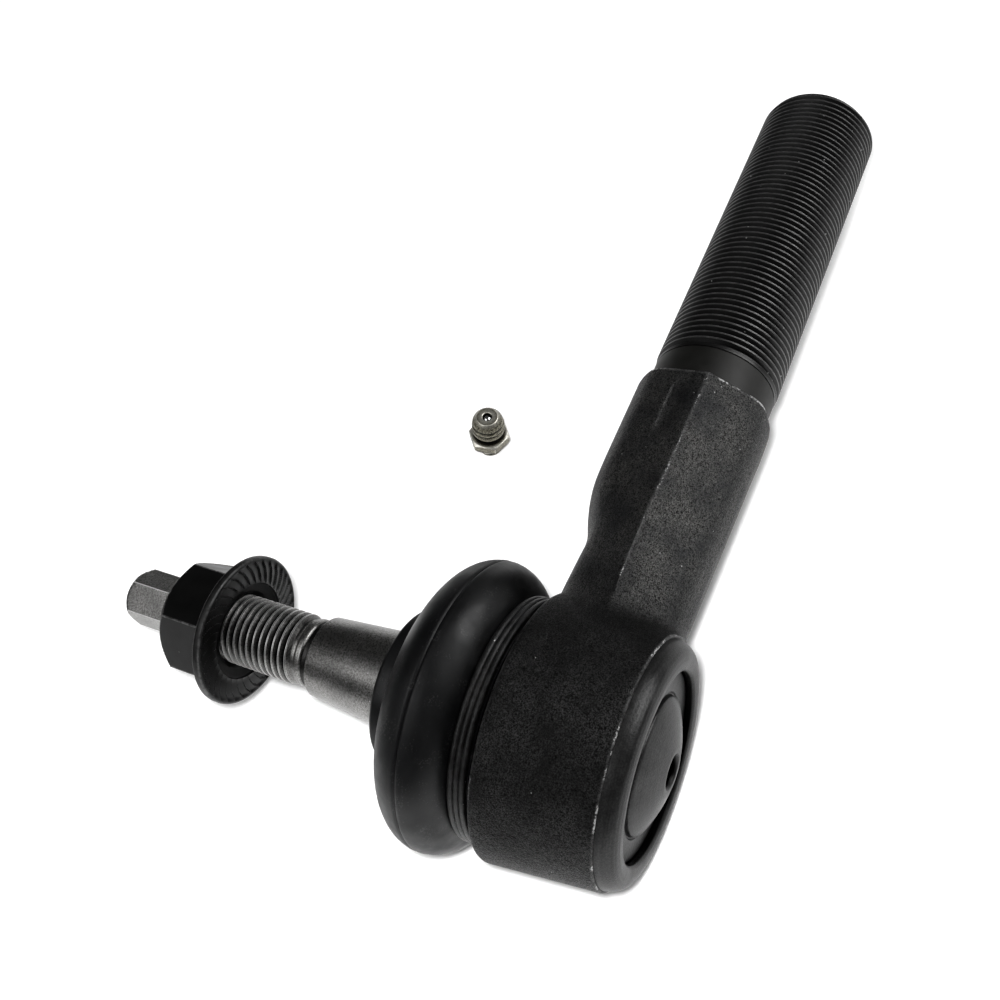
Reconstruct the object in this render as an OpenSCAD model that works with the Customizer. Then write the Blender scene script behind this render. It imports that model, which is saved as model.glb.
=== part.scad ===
// Outer tie rod end of a steering linkage: a ball stud held in a forged housing,
// whose threaded shank screws into the tie rod's adjuster.
//
// The origin is the centre of the ball. +X runs along the shank to its threaded end,
// +Y along the ball stud to its tip, and +Z is up, with the joint lying on its side.
// Every profile of a turned piece is a list of [radius, distance along the piece's axis].

/* [Ball stud] */
// Radius of the ball
ball_r = 14; // [13.6:0.1:14]
// How far below its centre the ball is cut flat
ball_flat_y = 12.3; // [12:0.1:12.4]
// Radius of the waist between the ball and the boot's seal
neck_r = 7.5; // [6.5:0.1:7.5]
// Radius of the cylinder that the boot's lip runs on
seal_land_r = 9.65; // [9.6:0.01:9.65]
// Where the taper starts
taper_start_y = 31.2; // [30.5:0.1:31.5]
// Where the taper ends
taper_end_y = 50.3; // [49:0.1:51]
// Radius of the taper at its big end
taper_big_r = 9.46; // [9.2:0.01:9.6]
// Radius of the taper at its small end
taper_small_r = 7.88; // [7.6:0.01:8.2]
// Major radius of the stud's thread
stud_thread_r = 7; // [6.9:0.01:7]
// Pitch of the stud's thread
stud_pitch = 1.5; // [1.25:0.25:1.5]
// Where the stud's thread starts
stud_thread_start_y = 54.4; // [54:0.1:56]
// Where the stud's thread ends
stud_thread_end_y = 84.6; // [82:0.1:86]
// Tip of the stud
stud_tip_y = 96.7; // [94:0.1:98]
// Size across the flats of the hex that holds the stud still
stud_hex_af = 10.3; // [9:0.1:11]
// How far that hex is turned
stud_hex_turn = 32; // [0:1:60]

/* [Shank] */
// End of the forging and start of the machined collar
collar_start_x = 74; // [72:0.5:76]
// Radius of the machined collar
collar_r = 12.7; // [12:0.1:12.8]
// Where the shank's thread starts
shank_thread_start_x = 81.1; // [80:0.1:83]
// End of the shank
shank_end_x = 160.2; // [140:0.1:170]
// Major radius of the shank's thread
shank_thread_r = 13; // [12.9:0.01:13]
// Pitch of the shank's thread
shank_pitch = 1.5; // [1:0.5:2]
// Chamfer on the end of the shank
shank_chamfer = 1.6; // [1:0.1:2.5]

/* [Socket] */
// Widest radius of the socket, just behind its front shoulder
socket_front_r = 24.4; // [23.5:0.1:25]
// Radius of the socket at its rear corner
socket_rear_r = 22.3; // [22:0.1:23]
// Face that the boot sits against
shoulder_y = 7.05; // [6.8:0.05:7.3]
// Rear corner of the socket, where the rolled lip begins
rear_corner_y = 14.2; // [14:0.1:14.4]
// Radius of the bore that holds the bearings
bore_r = 18.4; // [18.3:0.05:18.5]
// Outer face of the cover plate's flat rim
cover_face_y = 15.7; // [15.6:0.05:15.8]
// Thickness of the cover plate
cover_t = 2; // [1.8:0.1:2]
// Crest of the rolled lip
lip_crest_y = 17.4; // [17.2:0.1:17.6]
// Radius inside the rolled lip
lip_inner_r = 16.7; // [16.4:0.1:16.9]
// Radius of the spigot's bead, which the boot snaps over
spigot_bead_r = 20.2; // [20:0.1:20.4]
// Radius of the groove behind that bead
spigot_groove_r = 19.3; // [19.1:0.1:19.5]
// End of the spigot that carries the boot
spigot_end_y = 12.6; // [12.4:0.1:12.8]

/* [Boot] */
// Greatest radius of the boot
boot_r = 27; // [25.5:0.1:27]
// Wall of the boot
boot_wall = 2; // [1.6:0.1:2.4]
// Where the boot is widest
boot_mid_y = 18.8; // [18.5:0.1:19.2]
// Half the length of the boot's bulge
boot_half_length = 7.7; // [7.4:0.1:8]
// Radius of the cuff that grips the spigot
cuff_r = 21.2; // [21:0.1:21.4]
// Radius of the boot's small end lip
lip_ring_r = 14.6; // [13.8:0.1:15]
// End of that lip
lip_end_y = 32; // [31.8:0.1:32.4]
// Length of that lip
lip_length = 4.6; // [4.2:0.1:4.8]
// Radius of the wire in the ring that clamps the cuff
clamp_wire_r = 0.6; // [0.5:0.05:0.65]

/* [Flange nut] */
// Size across the flats of the nut
nut_af = 21; // [19:0.5:22]
// Height of the nut with its flange
nut_height = 14.4; // [13:0.1:15.5]
// Radius of the nut's flange
nut_flange_r = 15.1; // [14.5:0.1:15.5]
// Where the nut's bearing face stands on the stud
nut_face_y = 69.2; // [60:0.1:69.5]

/* [Grease fitting] */
// Place of the loose fitting along the shank
fitting_x = 71.3; // [40:0.1:90]
// Place of the loose fitting along the stud
fitting_y = 54.3; // [45:0.1:60]
// Major radius of the fitting's thread
fitting_thread_r = 3.175; // [3:0.005:3.3]
// How far the fitting is turned
fitting_turn = 40; // [0:1:60]
// How far the loose fitting leans toward the shank
fitting_lean = 10; // [0:1:15]
// Size across the flats of the fitting's hex
fitting_hex_af = 8.7; // [8:0.1:9]
// Radius of the tapped port in the cover plate
port_r = 2.75; // [2.6:0.05:2.9]

/* [Hidden] */
$fn = 96;
// Running clearance between a turning piece and what holds it
run_gap = 0.05;
// Clearance between pieces that are assembled and then stay put
seat_gap = 0.03;
// The bench that the joint and the loose fitting lie on
bench_z = -boot_r;
// Radius of the bearing surfaces round the ball
cup_r = ball_r + run_gap;

forged = "#2b2b2c";
black_steel = "#1f1f20";
bright_steel = "#8d8d8b";
zinc = "#a9a48c";
black_rubber = "#161617";
bearing_polymer = "#c8b98a";
spring_steel = "#5a5c60";

// Places a piece that is turned about Z so that its axis is the stud's
module about_stud() {
    rotate([-90, 0, 0]) children();
}

// Places a piece that is turned about Z so that its axis is the shank's
module along_shank() {
    rotate([0, 90, 0]) children();
}

// Stands the loose grease fitting on the bench, leaning on the edge of its foot
module on_bench() {
    edge_r = fitting_thread_r - fitting_chamfer;
    translate([fitting_x, fitting_y, bench_z + edge_r * sin(fitting_lean)])
        rotate([fitting_lean, 0, 0]) children();
}

// Points on an ellipse about a centre, from one angle to another in equal steps
function oval(centre, rx, ry, from, to, steps) =
    [for (i = [0:steps]) let (a = from + (to - from) * i / steps)
        [centre[0] + rx * cos(a), centre[1] + ry * sin(a)]];

function arc(centre, r, from, to, steps) = oval(centre, r, r, from, to, steps);

// The crests and roots of a 60 degree thread as turned grooves, with flat crest lands
function thread_points(r, pitch, start, end) =
    let (depth = 0.61 * pitch, land = pitch / 8, flank = 0.35 * pitch,
         turns = floor((end - start) / pitch))
    [for (i = [0:turns - 1]) let (z = start + i * pitch)
        each [[r, z], [r, z + land], [r - depth, z + land + flank],
              [r - depth, z + pitch - flank]]];

// A hexagonal bar whose corners are trimmed by a turned profile
module hex_bar(corner_r, from, to, turn, profile) {
    intersection() {
        rotate(turn) translate([0, 0, from])
            cylinder(r = corner_r, h = to - from, $fn = 6);
        rotate_extrude() polygon(profile);
    }
}

// ---------- housing ----------

// Outline of the socket from the rolled lip to the boot's spigot
socket_outline = [
    [0, -lip_crest_y + 0.3],
    [lip_inner_r, -lip_crest_y + 0.5],
    [lip_inner_r + 1, -lip_crest_y + 0.05],
    [lip_inner_r + 2.4, -lip_crest_y],
    [socket_rear_r - 1.6, -lip_crest_y + 1.1],
    [socket_rear_r - 0.5, -rear_corner_y - 0.2],
    [socket_rear_r, -rear_corner_y + 0.4],
    [socket_front_r, shoulder_y - 1.2],
    [socket_front_r - 0.35, shoulder_y - 0.35],
    [socket_front_r - 1.2, shoulder_y],
    [spigot_bead_r + 0.2, shoulder_y],
    [spigot_groove_r, shoulder_y + 0.9],
    [spigot_groove_r, spigot_end_y - 1.3],
    [spigot_bead_r, spigot_end_y - 0.7],
    [spigot_bead_r, spigot_end_y],
    [0, spigot_end_y]
];

// The cover plate lies in a counterbore, against this shoulder
cover_seat_r = bore_r + 0.8;
cover_back_y = cover_face_y - cover_t;
// The bore narrows to the stud's opening along a cone
cone_start_y = 3.6;
cone_end = [12.4, 8.2];

// The hollow of the socket: the cover's seat, the bearing bore, the cone and the opening
socket_hollow = [
    [0, -lip_crest_y - 1],
    [lip_inner_r, -lip_crest_y - 1],
    [lip_inner_r, -cover_face_y - seat_gap],
    [cover_seat_r, -cover_face_y - seat_gap],
    [cover_seat_r, -cover_back_y + seat_gap],
    [bore_r, -cover_back_y + seat_gap],
    [bore_r, cone_start_y],
    cone_end,
    [cone_end[0] + 1.1, spigot_end_y + 1],
    [0, spigot_end_y + 1]
];

// Cross-sections of the forged neck: [x, rear, front, ridge height, front height].
// Rear and front are how far it reaches to -Y and +Y, and the ridge is the long
// straight edge between its two upper faces.
neck_sections = [
    [10, -12.9, 10.5, 14.2, 9.8],
    [22, -13.1, 10.8, 14.1, 9.8],
    [30, -13.2, 10.5, 14.1, 9.8],
    [37, -13.5, 10.4, 14.1, 10.1],
    [43, -13.7, 12.3, 14.1, 11.2],
    [49, -13.9, 13.6, 14.1, 12],
    [68, -14.4, 13.6, 14.1, 12.4],
    [74, -14.1, 13.3, 13.6, 12]
];
ridge_y = -2.4;
// The boot's cuff and clamp ring need this room round the spigot
boot_room_r = socket_front_r - 1.2;

module neck_slice(section) {
    rear = section[1];
    front = section[2];
    ridge = section[3];
    height = section[4];
    shoulder = 0.62 * front;
    translate([section[0], 0, 0]) rotate([90, 0, 90]) linear_extrude(0.01)
        offset(r = 1.6, $fn = 24) offset(delta = -1.6)
            polygon([
                [ridge_y, ridge], [rear + 1.2, 6], [rear, 0], [rear + 1.2, -6],
                [ridge_y, -ridge], [shoulder, -height], [front, -4.5],
                [front, 4.5], [shoulder, height]
            ]);
}

module neck() {
    difference() {
        union() for (i = [0:len(neck_sections) - 2]) hull() {
            neck_slice(neck_sections[i]);
            neck_slice(neck_sections[i + 1]);
        }
        about_stud() translate([0, 0, shoulder_y]) cylinder(r = boot_room_r, h = 10);
    }
}

// The forging's round end, the machined collar and the thread
module shank() {
    forged_r = 14.1;
    thread_end = shank_end_x - shank_chamfer - shank_pitch;
    along_shank() rotate_extrude() polygon(concat(
        [[0, collar_start_x - 4], [forged_r - 0.2, collar_start_x - 4],
         [forged_r, collar_start_x - 0.6], [forged_r - 0.3, collar_start_x],
         [collar_r, collar_start_x], [collar_r, shank_thread_start_x - 0.8]],
        thread_points(shank_thread_r, shank_pitch, shank_thread_start_x, thread_end),
        [[shank_thread_r, thread_end], [shank_thread_r, shank_end_x - shank_chamfer],
         [shank_thread_r - shank_chamfer, shank_end_x], [0, shank_end_x]]
    ));
}

module housing() {
    color(forged) difference() {
        union() {
            about_stud() rotate_extrude() polygon(socket_outline);
            neck();
            shank();
        }
        about_stud() rotate_extrude() polygon(socket_hollow);
    }
}

// ---------- what the socket holds ----------

// A dished disc: a flat rim, a groove, a dome and a tapped port through its middle
module cover_plate() {
    face = -cover_face_y;
    rim_r = cover_seat_r - 0.05;
    dome_r = 24.4;
    crown = face - 3.8;
    groove_r = 12.4;
    port_floor = face - 0.9;
    color(black_steel) about_stud() rotate_extrude() polygon(concat(
        [[port_r, crown + 0.65], [port_r + 0.4, crown + 0.3], [port_r + 1.3, crown + 0.35]],
        arc([0, crown + dome_r], dome_r, -76, -60.5, 4),
        [[groove_r, face - 0.35], [groove_r + 0.2, face + 0.15], [groove_r + 0.45, face],
         [rim_r, face], [rim_r, face + cover_t], [groove_r - 0.4, face + cover_t],
         [8.5, face + 0.1], [5, port_floor], [port_r, port_floor]]
    ));
}

module front_bearing() {
    opening_r = 8.1;
    color(bearing_polymer) about_stud() rotate_extrude() polygon(concat(
        arc([0, 0], cup_r, asin(0.5 / cup_r), asin(opening_r / cup_r), 10),
        [[cone_end[0] - run_gap, opening_r], [bore_r - seat_gap, cone_start_y - run_gap],
         [bore_r - seat_gap, 0.5]]
    ));
}

// Where the pressure seat ends and the preload spring starts
seat_end_y = 12;

// The ball is pressed against the front bearing by this ring, which can turn in the bore
module pressure_seat() {
    outer_r = bore_r - run_gap;
    color(bearing_polymer) about_stud() rotate_extrude() polygon(concat(
        arc([0, 0], cup_r, -asin(seat_end_y / cup_r), -asin(0.5 / cup_r), 12),
        [[outer_r, -0.5], [outer_r, -seat_end_y + 1.4], [outer_r - 1.35, -seat_end_y]]
    ));
}

// A conical disc spring between the pressure seat and the cover plate
module preload_spring() {
    thickness = 0.85;
    inner_r = 8;
    outer_r = 14;
    top = -seat_end_y - run_gap;
    foot = -cover_back_y + seat_gap;
    color(spring_steel) about_stud() rotate_extrude() polygon([
        [inner_r, top], [outer_r, foot + thickness], [outer_r, foot],
        [inner_r, top - thickness]
    ]);
}

// ---------- stud and nut ----------

undercut_r = 6.35;
band_r = 6.75;

module ball_stud() {
    hex_r = stud_hex_af / sqrt(3);
    thread_end = stud_thread_end_y - stud_pitch;
    ball_from = -asin(ball_flat_y / ball_r);
    ball_to = acos(neck_r / ball_r);
    color(bright_steel) about_stud() {
        rotate_extrude() polygon(concat(
            [[0, -ball_flat_y]],
            arc([0, 0], ball_r, ball_from, ball_to, 28),
            [[neck_r, 13], [neck_r, 21.5], [neck_r + 0.5, 23.2],
             [seal_land_r - 0.4, 26.2], [seal_land_r, 26.8],
             [seal_land_r, taper_start_y - 0.2],
             [taper_big_r, taper_start_y], [taper_small_r, taper_end_y],
             [taper_small_r - 0.75, taper_end_y + 0.45], [undercut_r, taper_end_y + 0.6],
             [undercut_r, 52.1], [band_r, 52.5], [band_r, 53.5],
             [6.1, stud_thread_start_y - 0.3]],
            thread_points(stud_thread_r, stud_pitch, stud_thread_start_y, thread_end),
            [[stud_thread_r, thread_end], [stud_thread_r, thread_end + 0.4],
             [5.2, stud_thread_end_y + 0.6], [0, stud_thread_end_y + 0.6]]
        ));
        hex_bar(hex_r, stud_thread_end_y, stud_tip_y, stud_hex_turn, [
            [0, stud_thread_end_y], [hex_r + 1, stud_thread_end_y],
            [hex_r + 1, stud_tip_y - 1.3], [hex_r - 0.9, stud_tip_y], [0, stud_tip_y]
        ]);
    }
}

module flange_nut() {
    corner_r = nut_af / sqrt(3);
    flat_r = nut_af / 2;
    flange_top = 3.6;
    hole_r = stud_thread_r + run_gap;
    color(black_steel) about_stud() translate([0, 0, nut_face_y]) difference() {
        union() {
            rotate_extrude() polygon([
                [0, 0], [nut_flange_r - 0.3, 0], [nut_flange_r, 0.3], [nut_flange_r, 1.4],
                [nut_flange_r - 0.4, 1.8], [flat_r + 0.3, flange_top], [0, flange_top]
            ]);
            hex_bar(corner_r, 0, nut_height, 0, [
                [0, 0], [corner_r + 1, 0], [corner_r + 1, nut_height - 2.3],
                [flat_r - 0.9, nut_height], [0, nut_height]
            ]);
        }
        // The plain bore, with a recess in the bearing face and a chamfer at the top
        rotate_extrude() polygon([
            [0, -1], [hole_r + 1.5, -1], [hole_r + 1.5, 0.4], [hole_r, 1.7],
            [hole_r, nut_height - 0.9], [hole_r + 0.9, nut_height + 0.1],
            [0, nut_height + 0.1]
        ]);
    }
}

// ---------- boot ----------

// The bulge is half an ellipse on each side of this circle
bulge_depth = 9.3;
bulge_centre = [boot_r - bulge_depth, boot_mid_y];
lip_start_y = lip_end_y - lip_length;

// The rubber bellows, gripped on the spigot and open at its small end for the lip
module dust_boot() {
    mouth_r = 10.6;
    cuff_start = shoulder_y + 1.1;
    outer = oval(bulge_centre, bulge_depth, boot_half_length, -63, 128, 22);
    inner = oval(bulge_centre, bulge_depth - boot_wall, boot_half_length - boot_wall,
                 122, -54, 20);
    color(black_rubber) about_stud() rotate_extrude() polygon(concat(
        [[spigot_groove_r + 0.1, cuff_start], [cuff_r, cuff_start], [cuff_r, 11.7]],
        outer,
        [[mouth_r, lip_start_y - 0.5], [mouth_r, lip_start_y - 1.4],
         [mouth_r + 1.6, lip_start_y - 2.8]],
        inner,
        [[spigot_bead_r + 0.1, spigot_end_y + 0.4], [spigot_bead_r + 0.1, 11.8],
         [spigot_groove_r + 0.1, 11.2]]
    ));
}

// The thick sealing lip at the boot's small end, which tilts with the stud
module boot_lip() {
    bore = seal_land_r + run_gap;
    color(black_rubber) about_stud() difference() {
        rotate_extrude() polygon([
            [bore, lip_start_y + 0.2], [12.4, lip_start_y],
            [lip_ring_r - 0.9, lip_start_y + 0.6], [lip_ring_r, lip_start_y + 1.8],
            [lip_ring_r, lip_end_y - 0.6], [lip_ring_r - 0.6, lip_end_y],
            [bore + 1.4, lip_end_y], [bore + 0.5, lip_end_y - 0.8],
            [bore, lip_end_y - 1.7]
        ]);
        lip_insert_solid(0);
    }
}

// The space for the lip's steel ring, or with a clearance the ring itself
module lip_insert_solid(clear) {
    translate([0, 0, lip_start_y + 1.8]) rotate_extrude() polygon([
        [11.6 + clear, clear], [13.6 - clear, clear],
        [13.6 - clear, 1.2 - clear], [11.6 + clear, 1.2 - clear]
    ]);
}

// The steel ring moulded into the lip, which keeps it round
module boot_lip_insert() {
    color(spring_steel) about_stud() lip_insert_solid(seat_gap);
}

// Three touching turns of wire that clamp the boot on the spigot
module boot_clamp_ring() {
    turns = 3;
    overlap = 0.1;
    first_y = shoulder_y + 1.35 + clamp_wire_r;
    color(black_steel) about_stud() rotate_extrude() union() {
        for (i = [0:turns - 1])
            translate([cuff_r + seat_gap + clamp_wire_r,
                       first_y + i * (2 * clamp_wire_r - overlap)])
                circle(clamp_wire_r, $fn = 24);
    }
}

// ---------- grease fitting ----------

// Heights above the fitting's foot
fitting_chamfer = 0.5;
fitting_hex_z = 3.6;
fitting_hex_top_z = 5.8;
fitting_head_z = 7.3;
fitting_tip_z = 12.4;
check_ball_r = 1.3;
check_ball_z = fitting_tip_z - 1.48;
passage_r = 0.9;
chamber_r = 1.5;
mouth_r = 1.1;

module fitting_body() {
    corner_r = fitting_hex_af / sqrt(3);
    relief_r = 2.7;
    head_r = 3.85;
    color(zinc) on_bench() difference() {
        union() {
            // The thread, the relief under the hex, the neck and the ringed head
            rotate_extrude() polygon([
                [0, 0], [fitting_thread_r - fitting_chamfer, 0],
                [fitting_thread_r, fitting_chamfer],
                [fitting_thread_r, fitting_hex_z - 0.9],
                [relief_r, fitting_hex_z - 0.6], [relief_r, fitting_head_z],
                [head_r - 0.1, fitting_head_z + 0.2], [head_r, fitting_head_z + 0.5],
                [head_r, fitting_head_z + 1.3], [head_r - 0.2, fitting_head_z + 1.5],
                [head_r - 0.2, fitting_head_z + 1.8], [head_r - 0.05, fitting_head_z + 2],
                [head_r - 0.05, fitting_head_z + 2.6], [head_r - 0.3, fitting_head_z + 2.8],
                [head_r - 0.3, fitting_head_z + 3.1], [head_r - 0.2, fitting_head_z + 3.3],
                [head_r - 0.3, fitting_head_z + 3.9], [2.45, fitting_tip_z],
                [0, fitting_tip_z]
            ]);
            hex_bar(corner_r, fitting_hex_z, fitting_hex_top_z, fitting_turn, [
                [0, fitting_hex_z], [corner_r - 0.5, fitting_hex_z],
                [corner_r, fitting_hex_z + 0.5], [corner_r, fitting_hex_top_z - 0.7],
                [corner_r - 1.3, fitting_hex_top_z], [0, fitting_hex_top_z]
            ]);
        }
        // The grease passage, the spring's chamber and the mouth that the ball closes
        rotate_extrude() polygon([
            [0, -1], [passage_r, -1], [passage_r, 1], [chamber_r, 1.2],
            [chamber_r, fitting_tip_z - 1.6], [mouth_r, fitting_tip_z - 0.7],
            [mouth_r, fitting_tip_z + 1], [0, fitting_tip_z + 1]
        ]);
    }
}

module fitting_check_ball() {
    color("silver") on_bench() translate([0, 0, check_ball_z]) sphere(check_ball_r);
}

// The coil that holds the check ball shut
module fitting_check_spring() {
    turns = 7;
    wire_r = 0.22;
    foot = 1.25;
    length = check_ball_z - check_ball_r * 0.6 - foot - 0.1;
    color(spring_steel) on_bench() translate([0, 0, foot])
        linear_extrude(length, twist = -360 * turns, slices = 12 * turns, $fn = 8)
            translate([1.15, 0]) circle(wire_r, $fn = 8);
}

housing();
cover_plate();
front_bearing();
pressure_seat();
preload_spring();
ball_stud();
flange_nut();
dust_boot();
boot_lip();
boot_lip_insert();
boot_clamp_ring();
fitting_body();
fitting_check_ball();
fitting_check_spring();
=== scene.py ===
"""Looks of a tie rod end: forged housing, ball stud, flange nut, dust boot and a loose
grease fitting. Shapes are worked out in millimetres in the CAD frame (+X along the shank,
+Y along the stud, +Z up, origin at the ball's centre) and made in metres."""
import math

import bmesh
import bpy
import numpy as np
from mathutils import Matrix, Vector


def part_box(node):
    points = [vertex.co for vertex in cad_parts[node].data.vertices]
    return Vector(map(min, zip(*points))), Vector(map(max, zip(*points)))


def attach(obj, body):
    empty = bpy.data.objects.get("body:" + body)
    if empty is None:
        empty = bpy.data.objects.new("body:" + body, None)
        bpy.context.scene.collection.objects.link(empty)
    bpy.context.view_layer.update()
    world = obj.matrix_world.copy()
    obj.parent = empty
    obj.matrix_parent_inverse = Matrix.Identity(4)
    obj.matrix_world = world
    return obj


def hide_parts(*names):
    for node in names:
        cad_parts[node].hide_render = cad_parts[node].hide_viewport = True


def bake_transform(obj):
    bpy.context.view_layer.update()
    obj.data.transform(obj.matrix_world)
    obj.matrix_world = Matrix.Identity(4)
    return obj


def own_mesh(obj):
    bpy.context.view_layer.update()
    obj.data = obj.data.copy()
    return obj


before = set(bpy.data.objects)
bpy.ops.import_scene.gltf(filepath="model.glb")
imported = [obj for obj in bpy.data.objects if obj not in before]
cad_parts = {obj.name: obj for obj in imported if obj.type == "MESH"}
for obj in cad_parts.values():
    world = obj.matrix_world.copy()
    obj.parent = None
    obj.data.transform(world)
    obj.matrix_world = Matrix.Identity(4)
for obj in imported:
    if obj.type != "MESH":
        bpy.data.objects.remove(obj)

MM = 0.001
X, Y, Z = 0, 1, 2
TAU = 2 * math.pi
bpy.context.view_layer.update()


def low(node, axis):
    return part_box(node)[0][axis] / MM


def high(node, axis):
    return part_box(node)[1][axis] / MM


def middle(node, axis):
    return (low(node, axis) + high(node, axis)) / 2


# ---------- sizes from the frame, in mm ----------

bench_z = low("dust_boot", Z)
shank_end_x = high("housing", X)
lip_crest_y = low("housing", Y)
ball_r = high("ball_stud", Z)
ball_flat_y = low("ball_stud", Y)
stud_tip_y = high("ball_stud", Y)
boot_r = high("dust_boot", Z) - 0.01
cuff_start_y = low("dust_boot", Y)
boot_lip_r = high("boot_lip", Z)
boot_lip_y = (low("boot_lip", Y), high("boot_lip", Y))
nut_y = (low("flange_nut", Y), high("flange_nut", Y))
nut_flange_r = high("flange_nut", Z)
cover_rim_r = high("cover_plate", Z)
cover_back_y = high("cover_plate", Y)
cover_crown_y = low("cover_plate", Y)
clamp_r = high("boot_clamp_ring", Z)
clamp_y = (low("boot_clamp_ring", Y), high("boot_clamp_ring", Y))
check_ball_at = [middle("fitting_check_ball", axis) for axis in (X, Y, Z)]

# ---------- sizes that the frame's boxes don't give, in mm ----------

# Socket
socket_front_r = 24.4
socket_rear_r = 22.3
shoulder_y = 7.05
socket_side_end_y = shoulder_y - 1.2
rear_corner_y = -14.2
spigot_r = 19.3
spigot_bead_r = 20.2
spigot_bead_half = 0.35
spigot_end_y = 12.6
boot_room_r = socket_front_r - 1.2
bore_r = 18.4
cone_start_y = 3.6
cone_end_y = 8.2
stud_opening_r = 12.4
lip_inner_r = 16.7
cover_face_y = -15.7
cover_dome_r = 24.4
cover_groove_r = 12.4
port_r = 2.75

# Neck and shank. The neck's sections are given at stations of x: its reach to +Y and -Y,
# where its ridge runs, and its height where the upper face bends over.
NECK_FRONT = ((20, 11.9), (30, 11.6), (37, 11.1), (42, 13.2), (48, 14.8), (52, 15.0), (74, 15.0))
NECK_REAR = ((20, -13.4), (45, -14.1), (70, -14.9), (74, -14.7))
RIDGE_HEIGHT = ((20, 14.1), (66, 14.1), (74, 13.7))
RIDGE_Y = ((18, -2.2), (34, -1.7), (56, -2.4), (74, -2.4))
NECK_BEND = ((20, 9.8), (34, 9.8), (56, 12.4), (74, 12.2))
neck_round_r = 14.9
neck_bend_share = 0.62
neck_front_z = 3.4
neck_rear_slant = 1.2
crease_y = 3.6
collar_x = 74
collar_r = 12.7
shank_thread_x = 81.1
shank_thread_r = 13.0
shank_chamfer = 1.6
thread_pitch = 1.5

# Stud
stud_neck_r = 7.5
seal_land_r = 9.65
taper_y = (31.2, 50.3)
taper_r = (9.46, 7.88)
undercut_r = 6.35
undercut_end_y = 52.1
stud_shoulder_r = 6.75
stud_thread_r = 7.0
stud_thread_start_r = 6.1
stud_thread_end_r = 5.6
stud_thread_y = (54.0, 85.0)
stud_hex_af = 10.3
stud_hex_turn = 2  # degrees, like the other hexagons' turns

# Nut
nut_af = 21.0
nut_turn = 30
nut_hole_r = stud_thread_r + 0.05
nut_teeth = 36

# Boot
boot_mid_y = 18.8
bulge_depth = 9.3
bulge_half_length = 7.7
boot_wall = 2.0
cuff_r = 21.2
cuff_bore_r = 19.45
lip_bore_r = seal_land_r + 0.08

# Fitting, upright about Z with its foot at 0
fitting_thread_r = 3.175
fitting_pitch = 0.907
fitting_relief_r = 2.7
fitting_hex_af = 8.7
fitting_turn = 40
fitting_lean = math.radians(10)
fitting_hex_z = (3.6, 5.8)
fitting_head_r = 3.85
fitting_head_z = 7.3
fitting_tip_z = 12.4
check_ball_z = fitting_tip_z - 1.486
check_spring_seat_z = 1.25

# ---------- mesh tools ----------
# A shell is (points, faces, wear and painted light): mm, tuples of indices, and for each point how
# worn it is, with painted highlight above 0 in places and painted shade below 0.


def on_axis(axis, r, angle, t):
    """Points at radius r and angle about an axis, t along it. The angle runs from the next
    axis round to the one after, so a rising angle and t make a right-hand thread."""
    out = np.zeros(np.broadcast(r, angle, t).shape + (3,))
    out[..., axis] = t
    out[..., (axis + 1) % 3] = r * np.cos(angle)
    out[..., (axis + 2) % 3] = r * np.sin(angle)
    return out


def full_turn(count, start=0.0):
    """Angles all the way round, the first at start."""
    return np.arange(count) / count * TAU + start


def face_list(corners):
    """Faces from an array whose last axis holds the four point numbers of each."""
    return [tuple(face) for face in corners.reshape(-1, 4).tolist()]


def capped(shell, rim, centre, centre_wear_and_painted_light, flip):
    """The shell with a loop of its points closed by a fan about a centre."""
    points, faces, wear_and_painted_light = shell
    rim = rim.tolist()
    hub = len(points)
    fan = [(hub, q, p) if flip else (hub, p, q) for p, q in zip(rim, rim[1:] + rim[:1])]
    return np.vstack([points, centre]), faces + fan, np.append(wear_and_painted_light, centre_wear_and_painted_light)


def strip(points, wear_and_painted_light=None, closed=False):
    """A shell from rows of points, each row a loop. The ends are capped, or joined if closed."""
    rows, cols = points.shape[:2]
    index = np.arange(rows * cols).reshape(rows, cols)
    after = np.roll(index, -1, 0)
    a, b = (index, after) if closed else (index[:-1], after[:-1])
    faces = face_list(np.stack([a, np.roll(a, -1, 1), np.roll(b, -1, 1), b], -1))
    wear_and_painted_light_value = np.zeros(rows * cols) if wear_and_painted_light is None else np.asarray(wear_and_painted_light, float).reshape(-1)
    shell = points.reshape(-1, 3), faces, wear_and_painted_light_value
    if not closed:
        for row, flip in ((0, True), (-1, False)):
            rim = index[row]
            shell = capped(shell, rim, points[row].mean(0), wear_and_painted_light_value[rim[0]], flip)
    return shell


def turned(axis, profile, segments=160, closed=False, wear_and_painted_light=None):
    """A shell from (radius, distance along the axis) points."""
    profile = np.asarray(profile, float)
    points = on_axis(axis, profile[:, :1], full_turn(segments)[None, :], profile[:, 1:])
    if wear_and_painted_light is not None:
        wear_and_painted_light = np.repeat(np.asarray(wear_and_painted_light, float)[:, None], segments, 1)
    return strip(points, wear_and_painted_light, closed)


def arc(centre, rx, ry, start, end, steps):
    """Profile points on an ellipse, angles in degrees."""
    a = np.radians(np.linspace(start, end, steps + 1))
    return [(centre[0] + rx * math.cos(v), centre[1] + ry * math.sin(v)) for v in a]


def rounded(corners, radius, steps=4):
    """An open profile with its corners rounded off, by at most a third of either side."""
    pts = [np.array(p, float) for p in corners]
    out = [pts[0]]
    for before, here, after in zip(pts, pts[1:], pts[2:]):
        cut = min(radius, np.linalg.norm(here - before) / 3, np.linalg.norm(after - here) / 3)
        a = here + (before - here) / np.linalg.norm(before - here) * cut
        b = here + (after - here) / np.linalg.norm(after - here) * cut
        for i in range(steps + 1):
            s = i / steps
            out.append((1 - s) ** 2 * a + 2 * s * (1 - s) * here + s * s * b)
    out.append(pts[-1])
    return [tuple(p) for p in out]


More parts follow.
